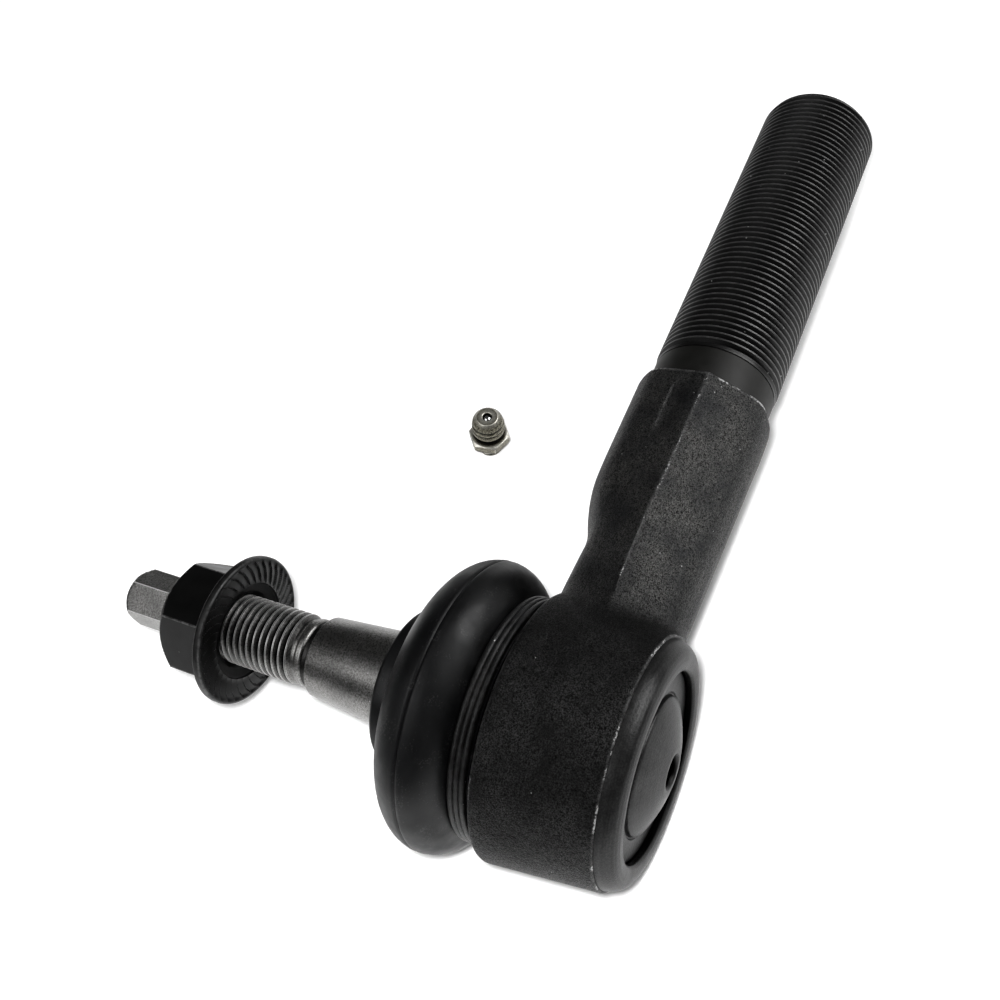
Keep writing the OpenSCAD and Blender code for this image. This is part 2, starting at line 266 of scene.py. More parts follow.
def wound(axis, coil_r, wire_r, angle, along, sides):
    """A round wire wound about an axis, its middle at the given angles and places along."""
    around = full_turn(sides)[None, :]
    return strip(on_axis(axis, coil_r + wire_r * np.cos(around), angle[:, None],
                         along[:, None] + wire_r * np.sin(around)))


def smoothstep(v):
    v = np.clip(v, 0, 1)
    return v * v * (3 - 2 * v)


def near(distance, width):
    return np.exp(-(distance / width) ** 2)


def threaded(axis, crest_r, pitch, start, end, start_r, end_r, segments):
    """A right-hand thread whose rows follow the helix, so that its crests are clean lines.
    It grows out of start_r over its first turn and ends in a chamfer down to end_r."""
    root_r = crest_r - 0.61 * pitch
    # One turn's section: place in the pitch, height between root and crest, and wear and painted
    # light: the crest rubbed lighter and partly painted highlight, the root and the bevels beside
    # the crest darkened with painted shade
    phase = np.array([0, 0.035, 0.09, 0.19, 0.245, 0.28, 0.61, 0.67])
    level = np.array([0.92, 1, 1, 1, 1, 0.92, 0.03, 0.03])
    wear_and_painted_light_value = np.array([-0.3, 0.9, 0.4, 0.6, 1, -0.3, -1, -1])
    per_turn = len(phase)
    turns = math.ceil((end - start) / pitch) + 2
    row = np.arange((turns + 1) * per_turn)
    turn, spot = row[:, None] // per_turn, row % per_turn
    share = np.arange(segments) / segments
    t = start + pitch * (turn - 1 + phase[spot][:, None] + share[None, :])
    inside = np.clip(t, start, end)
    grown = smoothstep((inside - start) / (1.3 * pitch))
    full_r = root_r + (crest_r - root_r) * level[spot][:, None]
    r = start_r + (full_r - start_r) * grown
    chamfer = end_r + end - inside
    wear_and_painted_light = np.where(r > chamfer, 0.2, wear_and_painted_light_value[spot][:, None] * grown)
    points = on_axis(axis, np.minimum(r, chamfer), share[None, :] * TAU, inside)
    index = np.arange(points.shape[0] * segments).reshape(-1, segments)
    # The row that is one turn on closes each row's loop
    across = np.hstack([index[:-per_turn], index[per_turn:, :1]])
    a, b = across[:-1], across[1:]
    faces = face_list(np.stack([a[:, :-1], a[:, 1:], b[:, 1:], b[:, :-1]], -1))
    shell = points.reshape(-1, 3), faces, wear_and_painted_light.reshape(-1)
    for end_row, t_cap, flip in ((0, start, True), (len(across) - 1, end, False)):
        shell = capped(shell, index[end_row], on_axis(axis, 0.0, 0.0, t_cap), 0, flip)
    return shell


def from_corner(angle, turn):
    """Angle to the nearest corner of a hexagon that has one at turn, in degrees."""
    return np.abs(np.mod(angle - math.radians(turn) + TAU / 12, TAU / 6) - TAU / 12)


def hex_radius(angle, across_flats, turn):
    """Distance from the axis to a hexagon's side."""
    return across_flats / 2 / np.cos(TAU / 12 - from_corner(angle, turn))


def on_corner(angle, turn, width=0.01):
    """1 on a hexagon's corner lines and 0 elsewhere."""
    return (from_corner(angle, turn) < width).astype(float)


def leaned(shell):
    """A shell made upright about Z, set where the loose fitting leans on the bench."""
    points, faces, wear_and_painted_light = shell
    lean = np.array([[1, 0, 0], [0, math.cos(fitting_lean), -math.sin(fitting_lean)],
                     [0, math.sin(fitting_lean), math.cos(fitting_lean)]])
    foot = np.array(check_ball_at) - lean @ (0, 0, check_ball_z)
    return points @ lean.T + foot, faces, wear_and_painted_light


def joined(shells):
    """One shell from several."""
    all_points, all_faces, all_wear = [], [], []
    base = 0
    for points, faces, wear_and_painted_light in shells:
        all_points.append(points)
        all_faces += [tuple(i + base for i in face) for face in faces]
        all_wear.append(wear_and_painted_light)
        base += len(points)
    return np.vstack(all_points), all_faces, np.concatenate(all_wear)


def placed(name, data):
    """A new object in the scene."""
    obj = bpy.data.objects.new(name, data)
    bpy.context.scene.collection.objects.link(obj)
    return obj


def piece(name, shells, material, body, replaces=(), sharp=32):
    """One object from shells: doubled points merged, normals outward, edges sharper than
    sharp degrees left crisp. Its point attribute of wear and painted light drives its material's
    worn places, painted highlights and painted shade."""
    points, faces, wear_and_painted_light = joined(shells)
    mesh = bpy.data.meshes.new(name)
    mesh.from_pydata((points * MM).tolist(), [], faces)
    mesh.attributes.new("wear_and_painted_light", "FLOAT", "POINT").data.foreach_set("value", wear_and_painted_light.astype("f"))
    bm = bmesh.new()
    bm.from_mesh(mesh)
    bmesh.ops.remove_doubles(bm, verts=bm.verts, dist=0.001 * MM)
    bmesh.ops.dissolve_degenerate(bm, edges=bm.edges, dist=0.0001 * MM)
    bmesh.ops.recalc_face_normals(bm, faces=bm.faces)
    bm.to_mesh(mesh)
    bm.free()
    mesh.shade_smooth()
    mesh.set_sharp_from_angle(angle=math.radians(sharp))
    mesh.materials.append(material)
    obj = placed(name, mesh)
    if body:
        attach(obj, body)
    if replaces:
        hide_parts(*replaces)
    return obj


# ---------- the forging, as a distance field ----------


def smooth_min(a, b, k):
    """The lower of two fields, blended over a width k."""
    h = np.clip(0.5 + 0.5 * (b - a) / k, 0, 1)
    return b + (a - b) * h - k * h * (1 - h)


def smooth_max(a, b, k):
    return -smooth_min(-a, -b, k)


def through(y, z, first, second):
    """Signed distance from the plane on two (y, z) points, positive to the left of them."""
    dy, dz = second[0] - first[0], second[1] - first[1]
    return ((y - first[0]) * -dz + (z - first[1]) * dy) / np.hypot(dy, dz)


def along_neck(x, stations):
    """A smooth curve past given (x, value) stations."""
    x = np.asarray(x, float)
    at, value = zip(*stations)
    steps = np.linspace(-2.5, 2.5, 7)
    return sum(np.interp(x + d, at, value) for d in steps) / len(steps)


def neck_field(x, y, z):
    """The neck: its lit and dark faces meet in the ridge, and it is the same above and below."""
    z = np.abs(z)
    front = along_neck(x, NECK_FRONT)
    rear = along_neck(x, NECK_REAR)
    ridge = along_neck(x, RIDGE_HEIGHT)
    bend = along_neck(x, NECK_BEND)
    at_y = along_neck(x, RIDGE_Y)
    rear_z = 6.0 + 0.9 * smoothstep((x - 60) / 10)
    lit = through(y, z, (rear + neck_rear_slant, rear_z), (at_y, ridge))
    dark = through(y, z, (at_y, ridge), (neck_bend_share * front, bend))
    # A shallow pressed hollow in the dark face, up to the crease
    pressed = smoothstep((y - at_y - 1.5) / 3) * (1 - smoothstep((y - crease_y) / 0.3 + 0.5))
    dark = dark + 0.35 * pressed * smoothstep((x - 56) / 4) * smoothstep((72 - x) / 3)
    flank = through(y, z, (neck_bend_share * front, bend), (front + 0.4, neck_front_z))
    sides = smooth_max(smooth_max(flank, y - front, 4.5), np.hypot(y, z) - neck_round_r, 1.0)
    tail = smooth_max(through(y, z, (rear, 0.0), (rear + neck_rear_slant, rear_z)), rear - y, 1.6)
    field = smooth_max(lit, dark, 0.25)
    field = smooth_max(field, sides, 1.4)
    field = smooth_max(field, tail, 2.2)
    return np.maximum(smooth_max(field, x - collar_x, 0.7), 8 - x)


def socket_field(x, y, z):
    """The socket's slightly conical drum."""
    r = np.hypot(x, z)
    slope = (socket_front_r - socket_rear_r) / (socket_side_end_y - rear_corner_y)
    side = (r - socket_front_r + slope * (socket_side_end_y - y)) / math.hypot(1, slope)
    return smooth_max(smooth_max(side, y - shoulder_y, 1.3), rear_corner_y - y, 0.5)


def forging_field(x, y, z):
    """Socket and neck, cut back to make room for the boot, with the spigot and the bore."""
    r = np.hypot(x, z)
    solid = smooth_min(socket_field(x, y, z), neck_field(x, y, z), 3.6)
    solid = smooth_max(solid, -np.maximum(r - boot_room_r, shoulder_y - y), 0.5)
    solid = smooth_max(solid, rear_corner_y - y, 0.4)
    spigot = np.maximum(r - spigot_r, y - spigot_end_y)
    bead = np.maximum(r - spigot_bead_r,
                      np.abs(y - spigot_end_y + spigot_bead_half) - spigot_bead_half)
    solid = np.minimum(solid, np.minimum(spigot, bead))
    narrowing = (bore_r - stud_opening_r) * np.clip(
        (y - cone_start_y) / (cone_end_y - cone_start_y), 0, 1)
    flare = 0.25 * np.maximum(y - cone_end_y, 0)
    return np.maximum(solid, -(r - bore_r + narrowing - flare) * 0.8)


def window(grid, offset, shape):
    """The part of a grid that begins at an offset."""
    return grid[tuple(slice(o, o + n) for o, n in zip(offset, shape))]


def surface_net(field, lowest, highest, step):
    """Points and quads on the zero surface of a field, one point for each cell it crosses."""
    axes = [np.arange(lowest[i], highest[i] + step, step) for i in range(3)]
    value = field(*np.meshgrid(*axes, indexing="ij", sparse=True)).astype(np.float32)
    shape = tuple(n - 1 for n in value.shape)
    total = np.zeros(shape + (3,), np.float32)
    count = np.zeros(shape, np.float32)
    crossed = []
    for axis in range(3):
        ahead = [int(i == axis) for i in range(3)]
        edges = [n - one for n, one in zip(value.shape, ahead)]
        a, b = window(value, (0, 0, 0), edges), window(value, ahead, edges)
        hit = (a < 0) != (b < 0)
        share = np.where(hit, a / np.where(hit, a - b, 1), 0)
        crossed.append(hit)
        # Each cell has four edges along the axis, one at each of these offsets
        for offset in np.ndindex(*(2 - one for one in ahead)):
            h = window(hit, offset, shape)
            for i in range(3):
                place = window(share, offset, shape) if i == axis else offset[i]
                total[..., i] += h * place
            count += h
    mixed = count > 0
    cells = np.argwhere(mixed)
    number = np.full(shape, -1)
    number[mixed] = np.arange(len(cells))
    points = np.array(lowest) + step * (cells + total[mixed] / count[mixed][:, None])
    quads = []
    for axis, hit in enumerate(crossed):
        u, v = (axis + 1) % 3, (axis + 2) % 3
        at = np.argwhere(hit)
        at = at[(at[:, u] > 0) & (at[:, v] > 0) & (at[:, u] < shape[u]) & (at[:, v] < shape[v])]
        around = []
        for du, dv in ((-1, -1), (0, -1), (0, 0), (-1, 0)):
            cell = at.copy()
            cell[:, u] += du
            cell[:, v] += dv
            around.append(number[tuple(cell.T)])
        quads.append(np.stack(around, -1))
    return points, np.vstack(quads)


def settled(points, field, rounds=3):
    """The points moved onto the field's zero surface."""
    h = 0.05
    for _ in range(rounds):
        slope = np.stack([field(*(points + d).T) - field(*(points - d).T)
                          for d in h * np.eye(3)], -1) / (2 * h)
        size = np.maximum((slope ** 2).sum(1), 0.2)
        points = points - slope * np.clip(field(*points.T) / size, -0.3, 0.3)[:, None]
    return points


def forging_shell(step=0.4):
    """The forging's surface. Its grid sways with the ridge, so that one row of points lies
    along the ridge and can be moved right onto it."""
    def swayed(x, y, z):
        return forging_field(x, y + along_neck(x, RIDGE_Y), z)

    lowest = (-26.0, -(math.ceil(14 / step) + 0.5) * step, -26.0)
    points, quads = surface_net(swayed, lowest, (collar_x + 2, 17.5, 26.0), step)
    points[:, Y] += along_neck(points[:, X], RIDGE_Y)
    points = settled(points, forging_field)
    ridge_y = along_neck(points[:, X], RIDGE_Y)
    x, y, z = points.T
    on_ridge = (np.abs(y - ridge_y) < 0.55 * step) & (np.abs(z) > 12.5) & (x > 21)
    crest = points[on_ridge]
    crest[:, Y] = ridge_y[on_ridge]
    for _ in range(4):
        crest[:, Z] -= np.sign(crest[:, Z]) * forging_field(*crest.T)
    points[on_ridge] = crest
    return points, face_list(quads), forging_wear(*points.T)


def forging_wear(x, y, z):
    """Rubbed along the ridge, the crease, the socket's edges and the neck's end."""
    r = np.hypot(x, z)
    to_ridge = np.hypot(y - along_neck(x, RIDGE_Y), np.abs(z) - along_neck(x, RIDGE_HEIGHT))
    ridge = near(to_ridge, 0.7) * (x > 26)
    on_crease = (z > 8) * smoothstep((x - 57) / 3) * smoothstep((70 - x) / 3)
    crease = near(y - crease_y, 0.4) * on_crease
    rear_edge = near(np.hypot(r - socket_rear_r, y - rear_corner_y), 0.55)
    front_edge = near(np.hypot(r - socket_front_r + 0.5, y - shoulder_y + 0.4), 0.6)
    neck_end = near(x - collar_x + 0.45, 0.5) * (np.hypot(y, z) > collar_r)
    return np.maximum.reduce([0.75 * ridge, 0.55 * crease, rear_edge, 0.95 * front_edge, neck_end])


# ---------- materials ----------


class Shader:
    """Builds one node material. Textures read object coordinates, in metres."""

    def __init__(self, name):
        self.material = bpy.data.materials.new(name)
        self.material.use_nodes = True
        self.tree = self.material.node_tree
        self.bsdf = self.tree.nodes["Principled BSDF"]
        self.place = self.tree.nodes.new("ShaderNodeTexCoord").outputs["Object"]

    def node(self, kind, settings=None, **inputs):
        n = self.tree.nodes.new(kind)
        for key, value in (settings or {}).items():
            setattr(n, key, value)
        for key, value in inputs.items():
            self.feed(n.inputs[key.replace("_", " ")], value)
        return n

    def feed(self, socket, value):
        if isinstance(value, bpy.types.NodeSocket):
            self.tree.links.new(value, socket)
        else:
            socket.default_value = value

    def math(self, operation, a, b=0.0):
        n = self.node("ShaderNodeMath", {"operation": operation})
        self.feed(n.inputs[0], a)
        self.feed(n.inputs[1], b)
        return n.outputs[0]

    def noise(self, size_mm, detail=3.0, roughness=0.55, at=None):
        """Noise whose blotches are about size_mm across."""
        n = self.node("ShaderNodeTexNoise", Scale=1 / (size_mm * MM), Detail=detail,
                      Roughness=roughness, Vector=at or self.place)
        return n.outputs["Fac"]

    def scattered(self, spacing_mm):
        """Scattered points: the distance from the nearest, in spacings, and its own colour."""
        n = self.node("ShaderNodeTexVoronoi", Scale=1 / (spacing_mm * MM), Vector=self.place)
        return n.outputs["Distance"], n.outputs["Color"]

    def specks(self, spacing_mm, size, share, cluster_mm):
        """Scattered specks: 1 inside them. Size is a part of the spacing, share says how many
        of the places have one, and they gather in clusters."""
        distance, colour = self.scattered(spacing_mm)
        pick = self.node("ShaderNodeSeparateColor", Color=colour).outputs[0]
        gather = self.steps(self.noise(cluster_mm, 2), 0.4, 0.65, 0.1, 2.2)
        chosen = self.math("LESS_THAN", pick, self.math("MULTIPLY", gather, share))
        ragged = self.math("MULTIPLY", self.noise(spacing_mm / 5, 2), 2 * size)
        return self.math("MULTIPLY", chosen, self.math("LESS_THAN", distance, ragged))

    def steps(self, value, start, end, low_value=0.0, high_value=1.0):
        """value from start to end, spread over low_value to high_value and held outside."""
        n = self.tree.nodes.new("ShaderNodeMapRange")
        for socket, v in zip(n.inputs, (value, start, end, low_value, high_value)):
            self.feed(socket, v)
        return n.outputs[0]

    def mix(self, share, a, b):
        """Colour a, or b where share is 1."""
        n = self.node("ShaderNodeMix", {"data_type": "RGBA"})
        self.feed(n.inputs["Factor"], share)
        self.feed(n.inputs[6], a)
        self.feed(n.inputs[7], b)
        return n.outputs[2]

    def wear_and_painted_light(self):
        """Two shares, 0 to 1 each, from the mesh's attribute of wear and painted light: how rubbed
        a place is, with painted highlight in places, and how much painted shade it has.
        """
        wear_and_painted_light = self.node("ShaderNodeAttribute", {"attribute_name": "wear_and_painted_light"}).outputs["Fac"]
        return self.steps(wear_and_painted_light, 0, 1), self.steps(wear_and_painted_light, 0, -1)

    def parts(self):
        """x, y and z of the place."""
        return self.node("ShaderNodeSeparateXYZ", Vector=self.place).outputs

    def polar(self, axis):
        """(radius, distance along) of the place about an axis through the origin."""
        parts = self.parts()
        u, v = parts[(axis + 1) % 3], parts[(axis + 2) % 3]
        r = self.math("SQRT", self.math("ADD", self.math("MULTIPLY", u, u),
                                        self.math("MULTIPLY", v, v)))
        return r, parts[axis]

    def line_noise(self, value, size_mm):
        """Noise along one number only, for turned lines."""
        at = self.node("ShaderNodeCombineXYZ", X=value).outputs[0]
        return self.noise(size_mm, 4, 0.7, at)

    def bump(self, height, depth_mm, strength=1.0):
        """Relief on top of what earlier calls gave."""
        n = self.node("ShaderNodeBump", Height=height, Distance=depth_mm * MM, Strength=strength)
        if self.bsdf.inputs["Normal"].is_linked:
            self.tree.links.new(self.bsdf.inputs["Normal"].links[0].from_socket,
                                n.inputs["Normal"])
        self.tree.links.new(n.outputs[0], self.bsdf.inputs["Normal"])

    def finish(self, **inputs):
        for key, value in inputs.items():
            self.feed(self.bsdf.inputs[key.replace("_", " ")], value)
        return self.material


def grey(v, tint=(1, 1, 1)):
    """A grey of brightness v that may lean to a tint."""
    return (v * tint[0], v * tint[1], v * tint[2], 1)


def forged_material():
    """Black coating on shot-blasted steel, partly metallic, so that its grain sparkles, with
    soft clouds and bright rubbed spots. The socket is blacker than the neck."""
    s = Shader("black_coated_forging")
    along = s.node("ShaderNodeMapping", Vector=s.place, Scale=(0.25, 1, 1)).outputs[0]
    flow = s.noise(2.4, 3, 0.6, along)
    grain = s.noise(0.24, 2, 0.6)
    lumps = s.noise(0.7, 3, 0.6)
    clouds = s.noise(8, 4, 0.6)
    from_pit, _ = s.scattered(0.9)
    pits = s.steps(from_pit, 0.06, 0.28)
    wear_and_painted_light, painted_shade = s.wear_and_painted_light()
    patches = s.steps(s.noise(4.2, 2), 0.45, 0.6)
    rub = s.math("MULTIPLY", s.math("MULTIPLY", wear_and_painted_light, patches), s.noise(0.45, 2, 0.7))
    rubbed = s.steps(rub, 0.34, 0.42)
    bare = s.math("MAXIMUM", rubbed, s.specks(1.0, 0.11, 0.035, 7))
    sparkle = s.steps(s.math("ADD", grain, s.math("MULTIPLY", lumps, 0.25)), 0.48, 0.80)
    shank = s.steps(s.parts()[X], 16 * MM, 32 * MM)
    coat = s.mix(sparkle, s.mix(shank, grey(0.004), grey(0.009)),
                 s.mix(shank, grey(0.07), grey(0.15, (1, 0.99, 0.96))))
    haze = s.steps(clouds, 0.4, 0.68, 0.0, 0.75)
    coat = s.mix(haze, coat, s.mix(shank, grey(0.012), grey(0.028, (0.94, 0.98, 1.06))))
    coat = s.mix(pits, grey(0.002), coat)
    edge = s.math("MULTIPLY", s.steps(wear_and_painted_light, 0.35, 1.0),
                  s.steps(s.noise(1.3, 3, 0.7), 0.4, 0.64, 0.12, 0.75))
    coat = s.mix(edge, coat, grey(0.24))
    colour = s.mix(bare, coat, grey(0.5))
    colour = s.mix(painted_shade, colour, grey(0.001))
    s.bump(clouds, 0.5, 0.5)
    s.bump(flow, 0.35, 0.6)
    s.bump(lumps, 0.20, 0.8)
    s.bump(grain, 0.16)
    return s.finish(Base_Color=colour, Roughness=s.steps(grain, 0.35, 0.65, 0.55, 0.36),
                    Metallic=s.steps(bare, 0, 1, 0.65, 0.85), Specular_IOR_Level=0.4,
                    Specular_Tint=grey(0.6))


def thread_material():
    """The coated shank's thread: roots darkened with painted shade, crests rubbed lighter and
    partly painted highlight.
    """
    s = Shader("black_thread")
    wear_and_painted_light, painted_shade = s.wear_and_painted_light()
    blotch = s.noise(1.4, 3, 0.7)
    fine = s.noise(0.25, 2)
    # Crest lines: partly rubbed coating, partly painted highlight.
    crest = s.math("MULTIPLY", s.steps(wear_and_painted_light, 0.4, 1.0), s.steps(blotch, 0.3, 0.7, 0.35, 1.0))
    bare = s.specks(1.1, 0.14, 0.05, 7)
    colour = s.mix(crest, grey(0.005), grey(0.4))
    # Painted shade in the roots.
    colour = s.mix(painted_shade, colour, grey(0.001))
    colour = s.mix(bare, colour, grey(0.4))
    s.bump(fine, 0.05, 0.6)
    return s.finish(Base_Color=colour, Roughness=s.steps(fine, 0.3, 0.7, 0.32, 0.46),
                    Metallic=s.math("MULTIPLY", crest, 0.5), Specular_IOR_Level=0.5)


def collar_material():
    """Machined before coating: faint turned lines under an olive-grey black."""
    s = Shader("coated_collar")
    _, along = s.polar(X)
    lines = s.line_noise(along, 0.12)
    clouds = s.noise(5, 4, 0.65)
    colour = s.mix(s.steps(clouds, 0.3, 0.7), grey(0.010, (1, 0.98, 0.86)),
                   grey(0.020, (1, 0.98, 0.88)))
    s.bump(lines, 0.012, 0.6)
    return s.finish(Base_Color=colour, Roughness=s.steps(clouds, 0.3, 0.7, 0.48, 0.60),
                    Specular_IOR_Level=0.38)


def rolled_material(name, tone, ring_depth):
    """Smooth black steel with faint rings about the stud's axis and dusty clouds, lightened along
    rubbed edges that are partly painted highlight, and blackened with painted shade in its
    hollows.
    """
    s = Shader(name)
    radius, _ = s.polar(Y)
    rings = s.line_noise(radius, 0.35)
    clouds = s.noise(4.5, 5, 0.6)
    grain = s.noise(0.3, 2)
    wear_and_painted_light, painted_shade = s.wear_and_painted_light()
    chips = s.steps(s.math("MULTIPLY", wear_and_painted_light, s.noise(0.9, 3, 0.7)), 0.46, 0.56)
    colour = s.mix(s.steps(clouds, 0.3, 0.72), grey(tone * 0.6), grey(tone * 1.3))
    colour = s.mix(s.steps(rings, 0.45, 0.7, 0.0, 0.4), colour, grey(tone * 2.2))
    colour = s.mix(s.steps(grain, 0.35, 0.65, 0.0, 0.5), colour, grey(tone * 0.4))
    # Rubbed edges, partly painted highlight.
    colour = s.mix(s.math("MULTIPLY", wear_and_painted_light, 0.7), colour, grey(0.22))
    colour = s.mix(chips, colour, grey(0.4))
    # Painted shade: the lip's inner wall, the cover's rim under the lip, its groove and its port.
    colour = s.mix(painted_shade, colour, grey(0.0006))
    s.bump(rings, ring_depth, 0.6)
    s.bump(grain, 0.06, 0.8)
    return s.finish(Base_Color=colour, Roughness=s.steps(clouds, 0.3, 0.7, 0.28, 0.42),
                    Metallic=s.steps(chips, 0, 1, 0.5, 0.8), Specular_IOR_Level=0.4,
                    Specular_Tint=grey(0.45))


def rubber_material():
    """Moulded rubber: satin black, a little dust and a slightly pebbled skin."""
    s = Shader("boot_rubber")
    clouds = s.noise(9, 4, 0.6)
    skin = s.noise(0.5, 3, 0.6)
    dust = s.steps(s.math("MULTIPLY", s.noise(0.3, 1), s.noise(3.2, 2)), 0.33, 0.44)
    colour = s.mix(clouds, grey(0.003, (0.9, 0.95, 1.1)), grey(0.007, (0.9, 0.95, 1.1)))
    colour = s.mix(s.math("MULTIPLY", dust, 0.5), colour, grey(0.05))
    s.bump(skin, 0.035, 0.35)
    return s.finish(Base_Color=colour, Roughness=s.steps(clouds, 0.35, 0.65, 0.36, 0.58),
                    Specular_IOR_Level=0.38)


def steel_material():
    """Bare machined steel: turned lines round the stud and a mottled, oiled surface. Its edges and
    thread crests are lighter, partly rubbed and partly painted highlight; its undercut and thread
    roots are darkened with painted shade.
    """
    tone = 0.25
    s = Shader("bare_steel")
    _, along = s.polar(Y)
    lines = s.line_noise(along, 0.10)
    mottle = s.noise(0.33, 3, 0.75)
    clouds = s.noise(5, 3)
    glints = s.specks(0.8, 0.13, 0.06, 4)
    wear_and_painted_light, painted_shade = s.wear_and_painted_light()
    colour = s.mix(s.steps(mottle, 0.38, 0.62), grey(tone * 0.55, (1, 0.98, 0.95)),
                   grey(tone * 1.45, (1, 0.99, 0.97)))
    colour = s.mix(glints, colour, grey(0.85))
    colour = s.mix(s.steps(clouds, 0.42, 0.7, 0.0, 0.45), colour, grey(tone * 0.5))
    # Rubbed edges and thread crests, partly painted highlight.
    colour = s.mix(s.steps(wear_and_painted_light, 0.45, 1.0, 0, 0.95), colour, grey(0.95))
    # Painted shade in the undercut and the thread's roots.
    colour = s.mix(painted_shade, colour, grey(0.012))
    s.bump(lines, 0.010, 0.7)
    s.bump(mottle, 0.03, 0.8)
    return s.finish(Base_Color=colour, Roughness=s.steps(mottle, 0.3, 0.7, 0.27, 0.44),
                    Metallic=s.steps(wear_and_painted_light, 0.2, 1, 1, 0.15))


def zinc_material():
    """Yellowish zinc plating, satin, with turned rings, painted shade in its hollows and its
    passage, and rims and chamfers lightened, partly rubbed and partly painted highlight.
    """
    s = Shader("yellowish_zinc")
    parts = s.parts()
    along = s.math("SUBTRACT", s.math("MULTIPLY", parts[Z], math.cos(fitting_lean)),
                   s.math("MULTIPLY", parts[Y], math.sin(fitting_lean)))
    rings = s.line_noise(along, 0.22)
    mottle = s.noise(0.3, 3, 0.75)
    wear_and_painted_light, painted_shade = s.wear_and_painted_light()
    colour = s.mix(s.steps(mottle, 0.42, 0.60), grey(0.03, (1, 0.91, 0.62)),
                   grey(0.34, (1, 0.94, 0.72)))
    # Rims, corners and chamfers lightened: partly rubbed, partly painted highlight.
    colour = s.mix(s.math("MULTIPLY", wear_and_painted_light, 0.9), colour, grey(0.92, (1, 0.98, 0.9)))
    # Painted shade in the hollows, the passage, the thread's roots and round the hexagon.
    colour = s.mix(painted_shade, colour, grey(0.01))
    s.bump(rings, 0.05, 0.8)
    s.bump(mottle, 0.08, 0.8)
    return s.finish(Base_Color=colour, Roughness=s.steps(mottle, 0.3, 0.7, 0.28, 0.42),
                    Metallic=s.steps(wear_and_painted_light, 0, 1, 0.45, 0.95), Specular_IOR_Level=0.5)


def oxide_material():
    """Black oxide on the flange nut, rubbed to a thin light line along its edges."""
    s = Shader("black_oxide")
    clouds = s.noise(4, 4, 0.6)
    fine = s.noise(0.3, 2)
    wear_and_painted_light, _ = s.wear_and_painted_light()
    rub = s.math("MULTIPLY", wear_and_painted_light, s.steps(s.noise(1.6, 3, 0.7), 0.35, 0.6, 0.15, 0.8))
    colour = s.mix(clouds, grey(0.002), grey(0.006))
    colour = s.mix(s.specks(0.9, 0.13, 0.07, 4), colour, grey(0.12))
    colour = s.mix(rub, colour, grey(0.3))
    s.bump(fine, 0.02, 0.5)
    return s.finish(Base_Color=colour, Roughness=s.steps(clouds, 0.3, 0.7, 0.34, 0.46),
                    Metallic=s.math("MULTIPLY", rub, 0.5), Specular_IOR_Level=0.35)


def wire_material():
    """The clamp's wire: dull black with dusty streaks and a few rubbed spots."""
    s = Shader("clamp_wire")
    fine = s.noise(0.5, 4, 0.7)
    streaks = s.steps(s.noise(2.2, 4, 0.7), 0.42, 0.7)
    bare = s.specks(0.9, 0.16, 0.12, 5)
    colour = s.mix(s.math("MULTIPLY", streaks, fine), grey(0.004), grey(0.055))
    colour = s.mix(bare, colour, grey(0.35))
    s.bump(fine, 0.10)
    return s.finish(Base_Color=colour, Roughness=s.steps(fine, 0.3, 0.7, 0.38, 0.55),
                    Metallic=s.math("MULTIPLY", bare, 0.6), Specular_IOR_Level=0.5)


def plain_material(name, dark, light, roughness, size_mm, metallic=0.0):
    """A finish whose tone and roughness wander between two values, for the inner pieces."""
    s = Shader(name)
    blotch = s.noise(size_mm, 4, 0.65)
    fine = s.noise(size_mm / 8, 2)
    s.bump(fine, 0.02, 0.5)
    return s.finish(Base_Color=s.mix(blotch, dark, light), Metallic=metallic,
                    Roughness=s.steps(blotch, 0.3, 0.7, roughness, roughness + 0.12))


forged = forged_material()
black_thread = thread_material()
collar_coat = collar_material()
rolled_black = rolled_material("rolled_lip_black", 0.055, 0.05)
cover_black = rolled_material("pressed_cover_black", 0.068, 0.012)
rubber = rubber_material()
bare_steel = steel_material()
zinc = zinc_material()
black_oxide = oxide_material()
clamp_wire = wire_material()

# ---------- housing ----------


def collar_shell():
    """From inside the neck to inside the thread's first turn."""
    return turned(X, [(collar_r - 3, collar_x - 4), (collar_r, collar_x - 3.9),
                      (collar_r, collar_x + 0.3), (collar_r, shank_thread_x - 0.6),
                      (collar_r - 0.5, shank_thread_x + 0.2)], 192)


def rolled_lip_shell():
    """The forging's rear edge rolled in over the cover, its inner wall blackened with painted
    shade and its crest's inner edge lightened, partly worn and partly painted highlight.
    """
    crest = lip_crest_y
    corner = [(17.6, rear_corner_y + 1.4), (21.8, rear_corner_y + 1.4),
              (21.8, rear_corner_y - 0.2)]
    outside = rounded([corner[-1], (21.2, crest + 1.5), (20.5, crest + 0.65),
                       (19.8, crest + 0.22), (18.8, crest), (17.9, crest + 0.04)], 0.5)
    inside = rounded([outside[-1], (17.2, crest + 0.18), (lip_inner_r, crest + 0.62),
                      (lip_inner_r, cover_face_y - 0.02), (17.6, cover_face_y - 0.02)], 0.14)
    profile = corner[:2] + outside + inside[1:]
    # Painted shade on the inner wall; a light line on the crest's inner edge, partly worn and
    # partly painted highlight.
    wear_and_painted_light = [-smoothstep((y - crest - 0.4) / 0.2) if r < 17.5 and y < cover_face_y
            else near(math.hypot(r - 17.3, y - crest - 0.14), 0.18) for r, y in profile]
    return turned(Y, profile, 256, closed=True, wear_and_painted_light=wear_and_painted_light)


